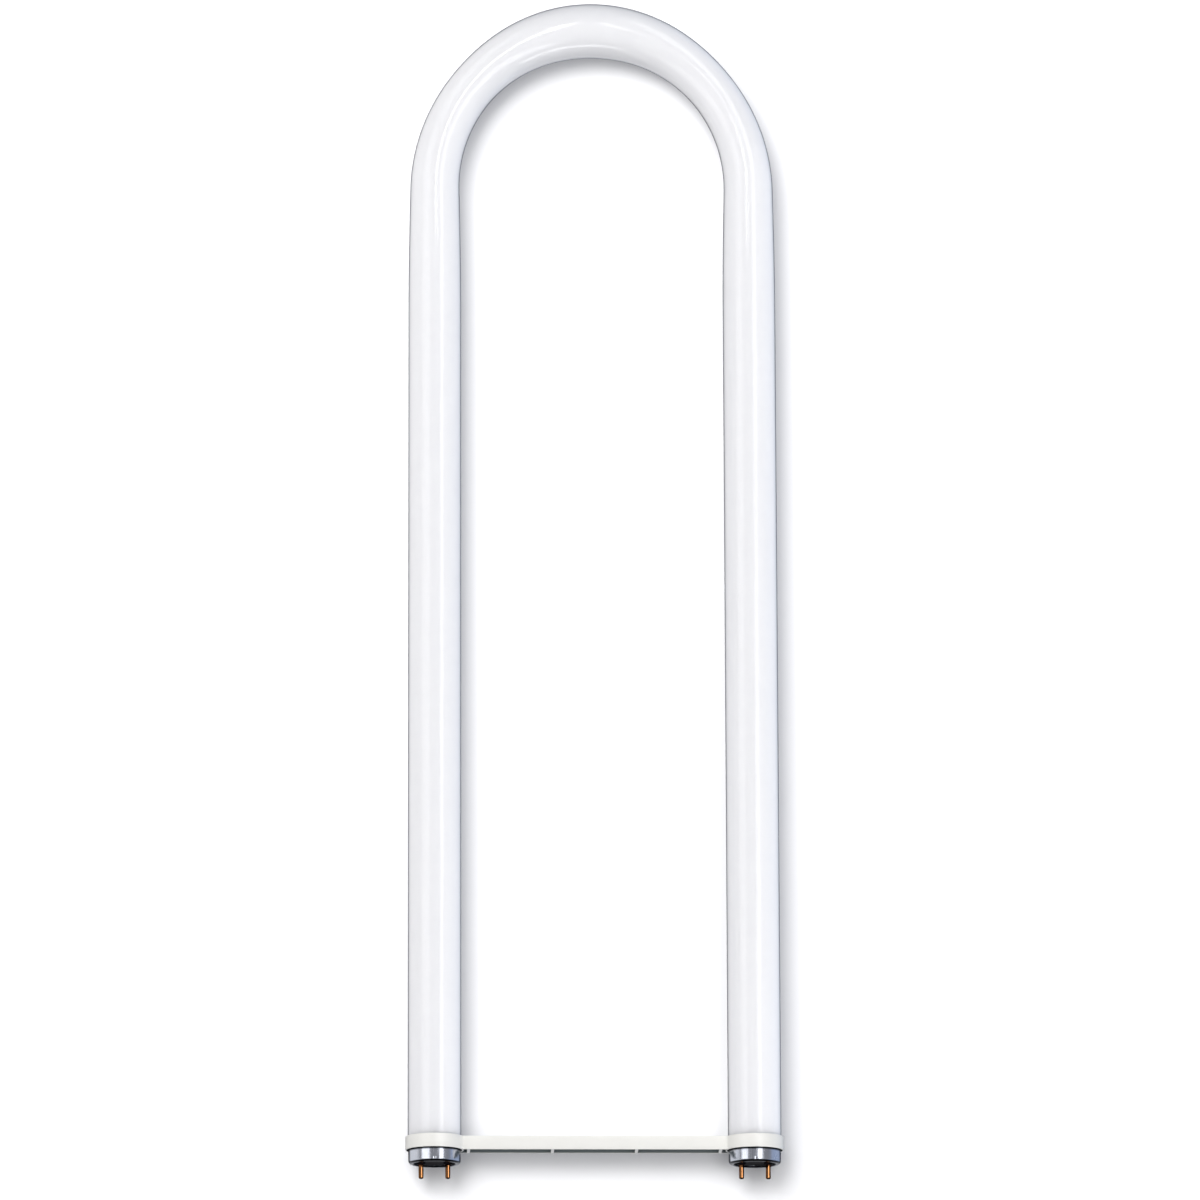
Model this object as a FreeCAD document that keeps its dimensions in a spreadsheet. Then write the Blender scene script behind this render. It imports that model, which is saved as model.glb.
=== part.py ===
"""U-shaped fluorescent lamp: a bent glass tube, two bi-pin bases and a moulded leg brace.

The lamp lies flat: X across the legs, +Y along them to the bend, +Z up from the surface it rests on.
Every body's own origin is on the base face, at the height of the tube's axis.
"""
import FreeCAD, Part
import math
import os
import Sketcher
from FreeCAD import Rotation, Vector

SIZES = {
    # overall
    "leg_spacing": 152.4,
    "base_to_bend": 571.5,
    # glass tube
    "tube_diameter": 25.4,
    "waist_diameter": 22.6,
    "crown_diameter": 26.5,
    "bend_lift": 4.0,
    "run_in": 60.0,
    "shoulder_length": 1.5,
    "glass_round": 2.0,
    "exhaust_diameter": 4.0,
    "exhaust_tip_diameter": 1.8,
    "exhaust_length": 1.6,
    # end caps
    "cap_step": 0.3,
    "cap_wall": 0.4,
    "cap_corner": 1.6,
    "rim_width": 0.9,
    "lip_depth": 1.1,
    "lip_round": 0.5,
    "crimp_count": 2,
    "crimp_diameter": 1.6,
    "crimp_depth": 0.2,
    "cement_wall": 0.6,
    "cement_length": 3.2,
    "wire_space": 2.8,
    # insulators
    "insulator_thickness": 1.6,
    "insulator_fit": 0.3,
    "boss_wall": 0.65,
    "boss_rise": 0.2,
    # contact pins and lead wires
    "pin_pitch": 12.7,
    "pin_diameter": 2.35,
    "pin_reach": 7.0,
    "pin_tip_round": 0.8,
    "pin_tip_wall": 1.2,
    "pin_bore": 1.0,
    "pin_shoulder": 0.25,
    "pin_fit": 0.03,
    "pin_head_overhang": 0.6,
    "pin_head_thickness": 0.6,
    "wire_diameter": 0.6,
    # leg brace
    "brace_height": 6.4,
    "brace_depth": 14.0,
    "brace_offset": -2.5,
    "brace_wall": 1.2,
    "brace_round": 0.5,
    "brace_blend": 1.5,
    "collar_fit": 0.15,
    "collar_wall": 1.0,
    "collar_overlap": 4.0,
    "collar_relief": 0.4,
    "rib_count": 4,
    "rib_thickness": 1.4,
    "rib_setback": 2.4,
}

# Lengths that several pieces share, as expressions of the sheet's sizes
LEG_X = "(Sizes.leg_spacing / 2)"
TUBE_R = "(Sizes.tube_diameter / 2)"
CAP_R = f"({TUBE_R} - Sizes.cap_step)"
CAP_BORE_R = f"({CAP_R} - Sizes.cap_wall)"
CAP_FLAT_R = f"({CAP_R} - Sizes.cap_corner)"
OPENING_R = f"({CAP_FLAT_R} - Sizes.rim_width)"
LIP_R = f"({OPENING_R} + Sizes.cap_wall)"
SEAT_Y = "(Sizes.lip_depth + Sizes.insulator_thickness)"
GLASS_END_Y = f"({SEAT_Y} + Sizes.wire_space)"
NECK_R = f"({CAP_BORE_R} - Sizes.cement_wall)"
NECK_Y = f"({GLASS_END_Y} + Sizes.glass_round)"
CAP_LENGTH = f"({NECK_Y} + Sizes.cement_length)"
PIN_X = "(Sizes.pin_pitch / 2)"
PIN_R = "(Sizes.pin_diameter / 2)"
SHANK_R = f"({PIN_R} + Sizes.pin_shoulder)"
PIN_HOLE_R = f"({SHANK_R} + Sizes.pin_fit)"
BORE_END_Y = "(Sizes.pin_tip_wall - Sizes.pin_reach)"
SPRING_Y = f"(Sizes.base_to_bend - Sizes.crown_diameter / 2 - {LEG_X} - Sizes.bend_lift)"
LEG_TOP_Y = f"({SPRING_Y} - Sizes.run_in)"
COLLAR_BORE_R = f"({TUBE_R} + Sizes.collar_fit)"
COLLAR_R = f"({COLLAR_BORE_R} + Sizes.collar_wall)"
BRACE_Y = f"({CAP_LENGTH} - Sizes.collar_overlap)"
BRACE_TOP_Y = f"({BRACE_Y} + Sizes.brace_height)"

# Place of the base face in the lamp's frame: the middle of the length is at zero, the lowest point at zero
BASE_Y = "((Sizes.pin_reach - Sizes.base_to_bend) / 2)"
AXIS_Z = f"max({COLLAR_R}; Sizes.crown_diameter / 2)"

SIDES = {"left": -1, "right": 1}

doc = FreeCAD.newDocument("u_lamp")
nodes = []


def make_sheet():
    """Put the driving sizes in a spreadsheet, one aliased cell each."""
    sheet = doc.addObject("Spreadsheet::Sheet", "Sizes")
    for row, (name, value) in enumerate(SIZES.items(), start=1):
        sheet.set(f"A{row}", name)
        sheet.set(f"B{row}", str(value))
        sheet.setAlias(f"B{row}", name)
    doc.recompute()
    return sheet


def place(node, across):
    """List a finished sub-part and set it on the base face, at the given distance across the lamp."""
    node.setExpression("Placement.Base.x", across)
    node.setExpression("Placement.Base.y", BASE_Y)
    node.setExpression("Placement.Base.z", AXIS_Z)
    nodes.append(node)


def new_body(name):
    """Start a sub-part whose label names its file."""
    body = doc.addObject("PartDesign::Body", name)
    body.Label = name
    return body


def origin_plane(body, role):
    """Find one of the body's own origin planes."""
    return next(plane for plane in body.Origin.OriginFeatures if plane.Role == role)


def new_sketch(body, name, role, offsets=None):
    """Attach a sketch to an origin plane, moved by expressions along the plane's own axes."""
    sketch = body.newObject("Sketcher::SketchObject", name)
    sketch.AttachmentSupport = [(origin_plane(body, role), "")]
    sketch.MapMode = "FlatFace"
    for axis, expression in (offsets or {}).items():
        sketch.setExpression(f"AttachmentOffset.Base.{axis}", expression)
    return sketch


def bind(sketch, kind, references, expression):
    """Add a dimension to a sketch and tie it to the sheet."""
    value = sketch.evalExpression(expression)
    index = sketch.addConstraint(Sketcher.Constraint(kind, *references, value))
    sketch.setExpression(f"Constraints[{index}]", expression)


def arc_between(start, end, radius, turn):
    """Make the short arc from start to end, with its centre on the left (turn 1) or right (turn -1)."""
    half = (end - start) * 0.5
    rise = math.sqrt(max(radius ** 2 - half.Length ** 2, 0.0))
    left = Vector(-half.y, half.x, 0).normalize()
    middle = start + half + left * (turn * (rise - radius))
    return Part.Arc(start, middle, end)


def draw(sketch, points, closed=True):
    """Draw an outline of lines and arcs through points given as expressions.

    A point is (x, y), or (x, y, radius, turn) where an arc leads from it to the next point.
    """
    places = [Vector(*(sketch.evalExpression(part) for part in point[:2]), 0) for point in points]
    count = len(points) if closed else len(points) - 1
    for index in range(count):
        start = places[index]
        end = places[(index + 1) % len(points)]
        if len(points[index]) > 2:
            radius = sketch.evalExpression(points[index][2])
            sketch.addGeometry(arc_between(start, end, radius, points[index][3]))
        else:
            sketch.addGeometry(Part.LineSegment(start, end))
    # An arc that turns right is stored the other way round, so its ends swap
    ends = [(2, 1) if len(point) > 2 and point[3] < 0 else (1, 2) for point in points]
    for index in range(count if closed else count - 1):
        following = (index + 1) % count
        joint = (index, ends[index][1], following, ends[following][0])
        sketch.addConstraint(Sketcher.Constraint("Coincident", *joint))
    for index, point in enumerate(points):
        vertex = (index, ends[index][0]) if index < count else (index - 1, ends[index - 1][1])
        bind(sketch, "DistanceX", (-1, 1, *vertex), point[0])
        bind(sketch, "DistanceY", (-1, 1, *vertex), point[1])
        if len(point) > 2:
            bind(sketch, "Radius", (index,), point[2])


def draw_circles(sketch, centres, diameter):
    """Draw equal circles at centres given as expressions."""
    for index, centre in enumerate(centres):
        place_now = Vector(*(sketch.evalExpression(part) for part in centre), 0)
        radius = sketch.evalExpression(diameter) / 2
        sketch.addGeometry(Part.Circle(place_now, Vector(0, 0, 1), radius))
        bind(sketch, "DistanceX", (-1, 1, index, 3), centre[0])
        bind(sketch, "DistanceY", (-1, 1, index, 3), centre[1])
        bind(sketch, "Diameter", (index,), diameter)


def revolve(body, name, points, offsets=None):
    """Turn an outline of (radius, height) points about the sketch's upright axis."""
    sketch = new_sketch(body, f"{name}_outline", "XY_Plane", offsets)
    draw(sketch, points)
    feature = body.newObject("PartDesign::Revolution", name)
    feature.Profile = sketch
    feature.ReferenceAxis = (sketch, ["V_Axis"])
    feature.Angle = 360
    return feature


def pad(body, name, sketch, length, midplane=False):
    """Raise a sketch by an expression."""
    feature = body.newObject("PartDesign::Pad", name)
    feature.Profile = sketch
    feature.setExpression("Length", length)
    feature.Midplane = midplane
    return feature


def cut_through(body, name, sketch):
    """Cut a sketch right through the body, both ways."""
    feature = body.newObject("PartDesign::Pocket", name)
    feature.Profile = sketch
    feature.Type = "ThroughAll"
    feature.Midplane = True
    return feature


def sink(body, name, sketch, depth):
    """Cut a sketch into the body by an expression."""
    feature = body.newObject("PartDesign::Pocket", name)
    feature.Profile = sketch
    feature.setExpression("Length", depth)
    return feature


def mirror(body, name, originals):
    """Repeat features on the other side of the lamp's middle."""
    feature = body.newObject("PartDesign::Mirrored", name)
    feature.Originals = originals
    feature.MirrorPlane = (origin_plane(body, "YZ_Plane"), [""])
    body.Tip = feature
    return feature


def bend_sections():
    """Yield (edge, share of the edge, diameter) along the bend's centre line, from right leg to left leg.

    The tube draws in from the leg to a waist on each side of the bend and swells again to the crown.
    """
    to_waist = [("Edge1", 0.0), ("Edge1", 0.5), ("Edge1", 1.0), ("Edge2", 0.35), ("Edge2", 0.65)]
    to_crown = [("Edge2", 0.9), ("Edge3", 0.1), ("Edge3", 0.3), ("Edge3", 0.5)]
    other_side = {"Edge1": "Edge5", "Edge2": "Edge4", "Edge3": "Edge3"}
    half = []
    for step, station in enumerate(to_waist):
        ease = (1 - math.cos(math.pi * step / (len(to_waist) - 1))) / 2
        diameter = f"Sizes.tube_diameter + (Sizes.waist_diameter - Sizes.tube_diameter) * {ease}"
        half.append((*station, diameter))
    for step, station in enumerate(to_crown, start=1):
        ease = (1 - math.cos(math.pi * step / len(to_crown))) / 2
        diameter = f"Sizes.waist_diameter + (Sizes.crown_diameter - Sizes.waist_diameter) * {ease}"
        half.append((*station, diameter))
    yield from half
    for edge, share, diameter in reversed(half[:-1]):
        yield other_side[edge], 1 - share, diameter


def make_bend(body):
    """Sweep the bend along three tangent arcs, a little taller than a half circle."""
    # Shoulder and crown arcs meet where a 3-4-5 triangle joins their centres
    shoulder_radius = f"({LEG_X} + 1.5 * Sizes.bend_lift)"
    crown_radius = f"({LEG_X} - Sizes.bend_lift)"
    meet_x = f"0.6 * {crown_radius}"
    meet_y = f"0.8 * {shoulder_radius}"
    spine = new_sketch(body, "bend_path", "XY_Plane", {"y": SPRING_Y})
    draw(spine, [
        (LEG_X, "-Sizes.run_in"),
        (LEG_X, "0", shoulder_radius, 1),
        (meet_x, meet_y, crown_radius, 1),
        (f"-{meet_x}", meet_y, shoulder_radius, 1),
        (f"-{LEG_X}", "0"),
        (f"-{LEG_X}", "-Sizes.run_in"),
    ], closed=False)
    doc.recompute()
    sections = []
    for edge, share, diameter in bend_sections():
        section = body.newObject("Sketcher::SketchObject", f"bend_section_{len(sections)}")
        section.AttachmentSupport = [(spine, edge)]
        section.MapMode = "NormalToEdge"
        section.MapPathParameter = share
        draw_circles(section, [("0", "0")], diameter)
        sections.append(section)
    bend = body.newObject("PartDesign::AdditivePipe", "bend")
    bend.Profile = sections[0]
    bend.Spine = (spine, [f"Edge{number}" for number in range(1, len(spine.Shape.Edges) + 1)])
    bend.Transformation = "Multisection"
    bend.Sections = [(section, [""]) for section in sections[1:]]
    return bend


def make_glass_tube():
    """Bend the sealed tube, with two straight legs that neck down into the end caps."""
    body = new_body("glass_tube")
    make_bend(body)
    leg = revolve(body, "leg", [
        ("0", f"{GLASS_END_Y} - Sizes.exhaust_length"),
        ("Sizes.exhaust_tip_diameter / 2", f"{GLASS_END_Y} - Sizes.exhaust_length"),
        ("Sizes.exhaust_diameter / 2", GLASS_END_Y),
        (f"{NECK_R} - Sizes.glass_round", GLASS_END_Y, "Sizes.glass_round", 1),
        (NECK_R, NECK_Y),
        (NECK_R, CAP_LENGTH),
        (TUBE_R, f"{CAP_LENGTH} + Sizes.shoulder_length"),
        (TUBE_R, LEG_TOP_Y),
        ("0", LEG_TOP_Y),
    ], {"x": LEG_X})
    mirror(body, "other_leg", [leg])
    place(body, "0")


def make_end_cap(side, across):
    """Draw an aluminium cup with a rounded edge, a rim turned in to a lip and the marks of its crimping."""
    body = new_body(f"{side}_end_cap")
    revolve(body, "cup", [
        (OPENING_R, "Sizes.lip_depth"),
        (OPENING_R, "Sizes.lip_round", "Sizes.lip_round", 1),
        (f"{OPENING_R} + Sizes.lip_round", "0"),
        (CAP_FLAT_R, "0", "Sizes.cap_corner", 1),
        (CAP_R, "Sizes.cap_corner"),
        (CAP_R, CAP_LENGTH),
        (CAP_BORE_R, CAP_LENGTH),
        (CAP_BORE_R, "Sizes.cap_corner", "Sizes.cap_corner - Sizes.cap_wall", -1),
        (CAP_FLAT_R, "Sizes.cap_wall"),
        (LIP_R, "Sizes.cap_wall"),
        (LIP_R, "Sizes.lip_depth"),
    ])
    crimp_sketch = new_sketch(body, "crimp_circle", "XY_Plane", {"z": CAP_R})
    draw_circles(crimp_sketch, [("0", "Sizes.cap_corner")], "Sizes.crimp_diameter")
    crimp = sink(body, "crimp", crimp_sketch, "Sizes.crimp_depth")
    crimps = body.newObject("PartDesign::PolarPattern", "crimps")
    crimps.Originals = [crimp]
    crimps.Axis = (crimp_sketch, ["V_Axis"])
    crimps.setExpression("Occurrences", "Sizes.crimp_count")
    body.Tip = crimps
    place(body, across)


def make_insulator(side, across):
    """Mould the disc that closes a cap from inside its lip, with a boss and a hole for each pin."""
    body = new_body(f"{side}_insulator")
    disc_r = f"{CAP_BORE_R} - Sizes.insulator_fit"
    revolve(body, "disc", [
        ("0", "Sizes.lip_depth"),
        (disc_r, "Sizes.lip_depth"),
        (disc_r, SEAT_Y),
        ("0", SEAT_Y),
    ])
    centres = [(f"-{PIN_X}", "0"), (PIN_X, "0")]
    boss_sketch = new_sketch(body, "boss_circles", "XZ_Plane", {"z": "-Sizes.lip_depth"})
    draw_circles(boss_sketch, centres, f"2 * ({PIN_HOLE_R} + Sizes.boss_wall)")
    pad(body, "bosses", boss_sketch, "Sizes.lip_depth + Sizes.boss_rise")
    hole_sketch = new_sketch(body, "hole_circles", "XZ_Plane")
    draw_circles(hole_sketch, centres, f"2 * {PIN_HOLE_R}")
    cut_through(body, "pin_holes", hole_sketch)
    place(body, across)


def make_pin(name, across):
    """Turn a hollow contact pin: rounded tip, shouldered shank in the insulator, head inside it."""
    body = new_body(name)
    tip_y = "-Sizes.pin_reach"
    head_r = f"{SHANK_R} + Sizes.pin_head_overhang"
    head_y = f"{SEAT_Y} + Sizes.pin_head_thickness"
    revolve(body, "pin", [
        ("0", tip_y),
        (f"{PIN_R} - Sizes.pin_tip_round", tip_y, "Sizes.pin_tip_round", 1),
        (PIN_R, f"{tip_y} + Sizes.pin_tip_round"),
        (PIN_R, "-Sizes.boss_rise"),
        (SHANK_R, "-Sizes.boss_rise"),
        (SHANK_R, SEAT_Y),
        (head_r, SEAT_Y),
        (head_r, head_y),
        ("Sizes.pin_bore / 2", head_y),
        ("Sizes.pin_bore / 2", BORE_END_Y),
        ("0", BORE_END_Y),
    ])
    place(body, across)


def make_lead_wire(name, across):
    """Run a lead wire from the glass end down the bore of its pin."""
    wire = doc.addObject("Part::Cylinder", name)
    wire.Label = name
    wire.setExpression("Radius", "Sizes.wire_diameter / 2")
    wire.setExpression("Height", f"{GLASS_END_Y} - {BORE_END_Y}")
    wire.Placement.Rotation = Rotation(Vector(1, 0, 0), -90)
    place(wire, across)
    wire.setExpression("Placement.Base.y", f"{BASE_Y} + {BORE_END_Y}")


def make_cement(side, across):
    """Fill the ring between a cap and the glass neck with basing cement."""
    body = new_body(f"{side}_cap_cement")
    revolve(body, "ring", [
        (NECK_R, NECK_Y),
        (CAP_BORE_R, NECK_Y),
        (CAP_BORE_R, CAP_LENGTH),
        (NECK_R, CAP_LENGTH),
    ])
    place(body, across)


def blend_line(height):
    """Work out where a bar face at a height over the axis runs into a collar through a hollow arc.

    Returns the place across the lamp where the face ends, and the point where the arc meets the collar.
    """
    reach = f"({COLLAR_R} + Sizes.brace_blend)"
    rise = f"({height} + Sizes.brace_blend)"
    run = f"sqrt({reach} ^ 2 - {rise} ^ 2)"
    share = f"({COLLAR_R} / {reach})"
    return f"({LEG_X} - {run})", f"({LEG_X} - {run} * {share})", f"({rise} * {share})"


def make_brace():
    """Mould the leg brace: a bar with a collar for each leg, and cells that open towards the pins."""
    body = new_body("leg_brace")
    front = "(Sizes.brace_depth / 2 + Sizes.brace_offset)"
    back = "(Sizes.brace_depth / 2 - Sizes.brace_offset)"
    front_x, front_touch_x, front_touch_z = blend_line(front)
    back_x, back_touch_x, back_touch_z = blend_line(back)
    blend = "Sizes.brace_blend"
    outline = new_sketch(body, "brace_outline", "XZ_Plane", {"z": f"-{BRACE_TOP_Y}"})
    draw(outline, [
        (f"-{back_x}", f"-{back}"),
        (back_x, f"-{back}", blend, -1),
        (back_touch_x, f"-{back_touch_z}", COLLAR_R, 1),
        (f"{LEG_X} + {COLLAR_R}", "0", COLLAR_R, 1),
        (front_touch_x, front_touch_z, blend, -1),
        (front_x, front),
        (f"-{front_x}", front, blend, -1),
        (f"-{front_touch_x}", front_touch_z, COLLAR_R, 1),
        (f"-{LEG_X} - {COLLAR_R}", "0", COLLAR_R, 1),
        (f"-{back_touch_x}", f"-{back_touch_z}", blend, -1),
    ])
    moulding = pad(body, "moulding", outline, "Sizes.brace_height")
    doc.recompute()
    ends = [f"Face{number}" for number, face in enumerate(moulding.Shape.Faces, start=1)
            if abs(face.normalAt(0, 0).y) > 0.99]
    rounding = body.newObject("PartDesign::Fillet", "edges")
    rounding.Base = (moulding, ends)
    rounding.setExpression("Radius", "Sizes.brace_round")

    # The ribs are what the cells leave standing
    top = f"({front} - Sizes.brace_wall)"
    bottom = f"-({back} - Sizes.brace_wall)"
    half_rib = "Sizes.rib_thickness / 2"
    last_rib_x = f"({LEG_X} - {COLLAR_R} - Sizes.rib_setback)"
    pitch = f"(2 * {last_rib_x} / (Sizes.rib_count - 1))"
    cell_sketch = new_sketch(body, "cell_outline", "XZ_Plane", {"z": f"-{BRACE_Y}"})
    draw(cell_sketch, [
        (f"-{last_rib_x} + {half_rib}", bottom),
        (f"-{last_rib_x} + {pitch} - {half_rib}", bottom),
        (f"-{last_rib_x} + {pitch} - {half_rib}", top),
        (f"-{last_rib_x} + {half_rib}", top),
    ])
    cell_depth = "Sizes.brace_height - Sizes.brace_wall"
    cell = sink(body, "cell", cell_sketch, cell_depth)
    cells = body.newObject("PartDesign::LinearPattern", "cells")
    cells.Originals = [cell]
    cells.Direction = (cell_sketch, ["H_Axis"])
    cells.setExpression("Length", f"(Sizes.rib_count - 2) * {pitch}")
    cells.setExpression("Occurrences", "Sizes.rib_count - 1")
    body.Tip = cells

    # Beyond the last rib, a cell ends against the round wall of the collar
    end_sketch = new_sketch(body, "end_cell_outline", "XZ_Plane", {"z": f"-{BRACE_Y}"})
    draw(end_sketch, [
        (f"{last_rib_x} + {half_rib}", bottom),
        (f"{LEG_X} - sqrt({COLLAR_R} ^ 2 - {bottom} ^ 2)", bottom, COLLAR_R, -1),
        (f"{LEG_X} - sqrt({COLLAR_R} ^ 2 - {top} ^ 2)", top),
        (f"{last_rib_x} + {half_rib}", top),
    ])
    end_cell = sink(body, "end_cell", end_sketch, cell_depth)
    bore_sketch = new_sketch(body, "collar_bore", "XZ_Plane")
    draw_circles(bore_sketch, [(LEG_X, "0")], f"2 * {COLLAR_BORE_R}")
    bore = cut_through(body, "bore", bore_sketch)
    # The collar grips the glass and stands well clear of the cap
    relief_sketch = new_sketch(body, "cap_relief", "XZ_Plane", {"z": f"-{BRACE_Y}"})
    draw_circles(relief_sketch, [(LEG_X, "0")], f"2 * ({COLLAR_BORE_R} + Sizes.collar_relief)")
    relief = sink(body, "relief", relief_sketch, "Sizes.collar_overlap")
    mirror(body, "other_end", [end_cell, bore, relief])
    place(body, "0")


def check_document():
    """Stop where a feature failed or a sub-part has no sound solid."""
    failed = [item.Label for item in doc.Objects if {"Invalid", "Error"} & set(item.State)]
    unsound = [node.Label for node in nodes if node.Shape.isNull() or not node.Shape.isValid()]
    if failed or unsound:
        raise RuntimeError(f"failed features: {failed}, unsound sub-parts: {unsound}")


make_sheet()
make_glass_tube()
for side, sign in SIDES.items():
    leg_across = f"{sign} * {LEG_X}"
    make_end_cap(side, leg_across)
    make_cement(side, leg_across)
    make_insulator(side, leg_across)
    for seat, outward in (("inner", -1), ("outer", 1)):
        pin_across = f"{leg_across} + {sign * outward} * {PIN_X}"
        make_pin(f"{side}_{seat}_pin", pin_across)
        make_lead_wire(f"{side}_{seat}_lead_wire", pin_across)
make_brace()
doc.recompute()
check_document()

os.makedirs("parts", exist_ok=True)
for node in nodes:
    node.Shape.exportStep(f"parts/{node.Label}.step")
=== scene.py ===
"""Looks of a U-shaped fluorescent lamp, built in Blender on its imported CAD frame.

The lamp lies flat: X across the legs, +Y along them to the bend, +Z up from the surface it rests on.
Sizes are in millimetres, and MM turns them to Blender's metres where a mesh is made.
"""

import logging
import math
from dataclasses import dataclass, field
from enum import Enum
from typing import Any, Iterable, Sequence

import bmesh
import bpy
from bmesh.types import BMEdge, BMFace, BMVert, BMesh
from bpy.types import Material, Node, NodeSocket, NodeTree, Object
from mathutils import Euler, Matrix, Vector


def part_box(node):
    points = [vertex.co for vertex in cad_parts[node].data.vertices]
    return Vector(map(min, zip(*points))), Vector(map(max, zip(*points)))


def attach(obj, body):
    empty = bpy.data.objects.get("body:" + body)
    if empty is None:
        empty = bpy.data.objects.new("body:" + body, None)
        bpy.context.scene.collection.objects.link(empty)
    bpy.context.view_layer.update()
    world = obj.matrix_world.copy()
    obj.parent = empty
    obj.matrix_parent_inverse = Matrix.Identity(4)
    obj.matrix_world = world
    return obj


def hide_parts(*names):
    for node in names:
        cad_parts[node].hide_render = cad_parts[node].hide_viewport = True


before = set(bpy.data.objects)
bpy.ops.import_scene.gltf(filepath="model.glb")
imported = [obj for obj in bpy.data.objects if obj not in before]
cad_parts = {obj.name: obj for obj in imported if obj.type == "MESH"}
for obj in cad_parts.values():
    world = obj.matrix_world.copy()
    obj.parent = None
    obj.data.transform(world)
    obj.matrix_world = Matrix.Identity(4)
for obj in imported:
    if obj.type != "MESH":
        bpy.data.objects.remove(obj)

MM = 0.001
BODY = "root"

# Meshes: what is shaded as an edge, what is rounded as a rim, and how near is the same place
SHARP_ANGLE = math.radians(35)
RIM_ANGLE = math.radians(80)
CORNER_SEGMENTS = 6
RIM_SEGMENTS = 4
MERGE_DISTANCE = 0.001 * MM
LOOSE_DISTANCE = 0.005 * MM

# Vertex attribute of the brace: 1 deep in a recess and 0 elsewhere, the mask of its painted shade
RECESS = "recess"

# Nodes: settings of an eased range and of a mix of two colours, the mix's sockets, and a noise's usual range
EASED = {"interpolation_type": "SMOOTHSTEP"}
COLOURS = {"data_type": "RGBA"}
FIRST, SECOND, MIXED = 6, 7, 2
NOISE_LOW, NOISE_HIGH = 0.3, 0.7

log = logging.getLogger("u_lamp")


class Slot(Enum):
    """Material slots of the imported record."""

    GLASS = "coated_glass"
    ALUMINIUM = "aluminium"
    PHENOLIC = "phenolic"
    BRASS = "brass"
    CEMENT = "cement"
    WIRE = "copper_wire"
    MOULDING = "white_moulding"


class Direction(Enum):
    """Options with a direction as their value and a word in the names of pieces."""

    @property
    def word(self) -> str:
        """Word for this option in the names of its pieces."""
        return self.name.lower()


class Side(Direction):
    """The lamp's two legs, each with its direction across the lamp."""

    LEFT = -1
    RIGHT = 1


class Seat(Direction):
    """Places of a base's two pins, each with its direction away from the lamp's middle."""

    INNER = -1
    OUTER = 1


# Shader helpers


def linear(hex_colour: str) -> tuple[float, float, float, float]:
    """Turn an sRGB hex colour to linear light.

    Args:
        hex_colour: Six hex digits, with or without a leading hash.

    Returns:
        Red, green, blue and an alpha of 1.
    """
    digits = hex_colour.lstrip("#")
    channels = [int(digits[start:start + 2], 16) / 255 for start in (0, 2, 4)]
    lit = [c / 12.92 if c <= 0.04045 else ((c + 0.055) / 1.055) ** 2.4 for c in channels]
    return (*lit, 1.0)


def add_node(tree: NodeTree, kind: str, settings: dict[str, Any] | None = None,
             inputs: dict[str | int, Any] | None = None) -> Node:
    """Add a shader node with its settings and links.

    Args:
        tree: Node tree that gets the node.
        kind: Blender's type name of the node.
        settings: Properties of the node to set.
        inputs: Input sockets by name or number. A socket is linked, any other value is set.

    Returns:
        The new node.
    """
    node = tree.nodes.new(kind)
    for name, value in (settings or {}).items():
        setattr(node, name, value)
    for key, value in (inputs or {}).items():
        if isinstance(value, NodeSocket):
            tree.links.new(value, node.inputs[key])
        else:
            node.inputs[key].default_value = value
    return node


def per_mm(size: float) -> float:
    """Scale of a pattern on Object coordinates whose features are this many millimetres across."""
    return 1 / (size * MM)


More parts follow.
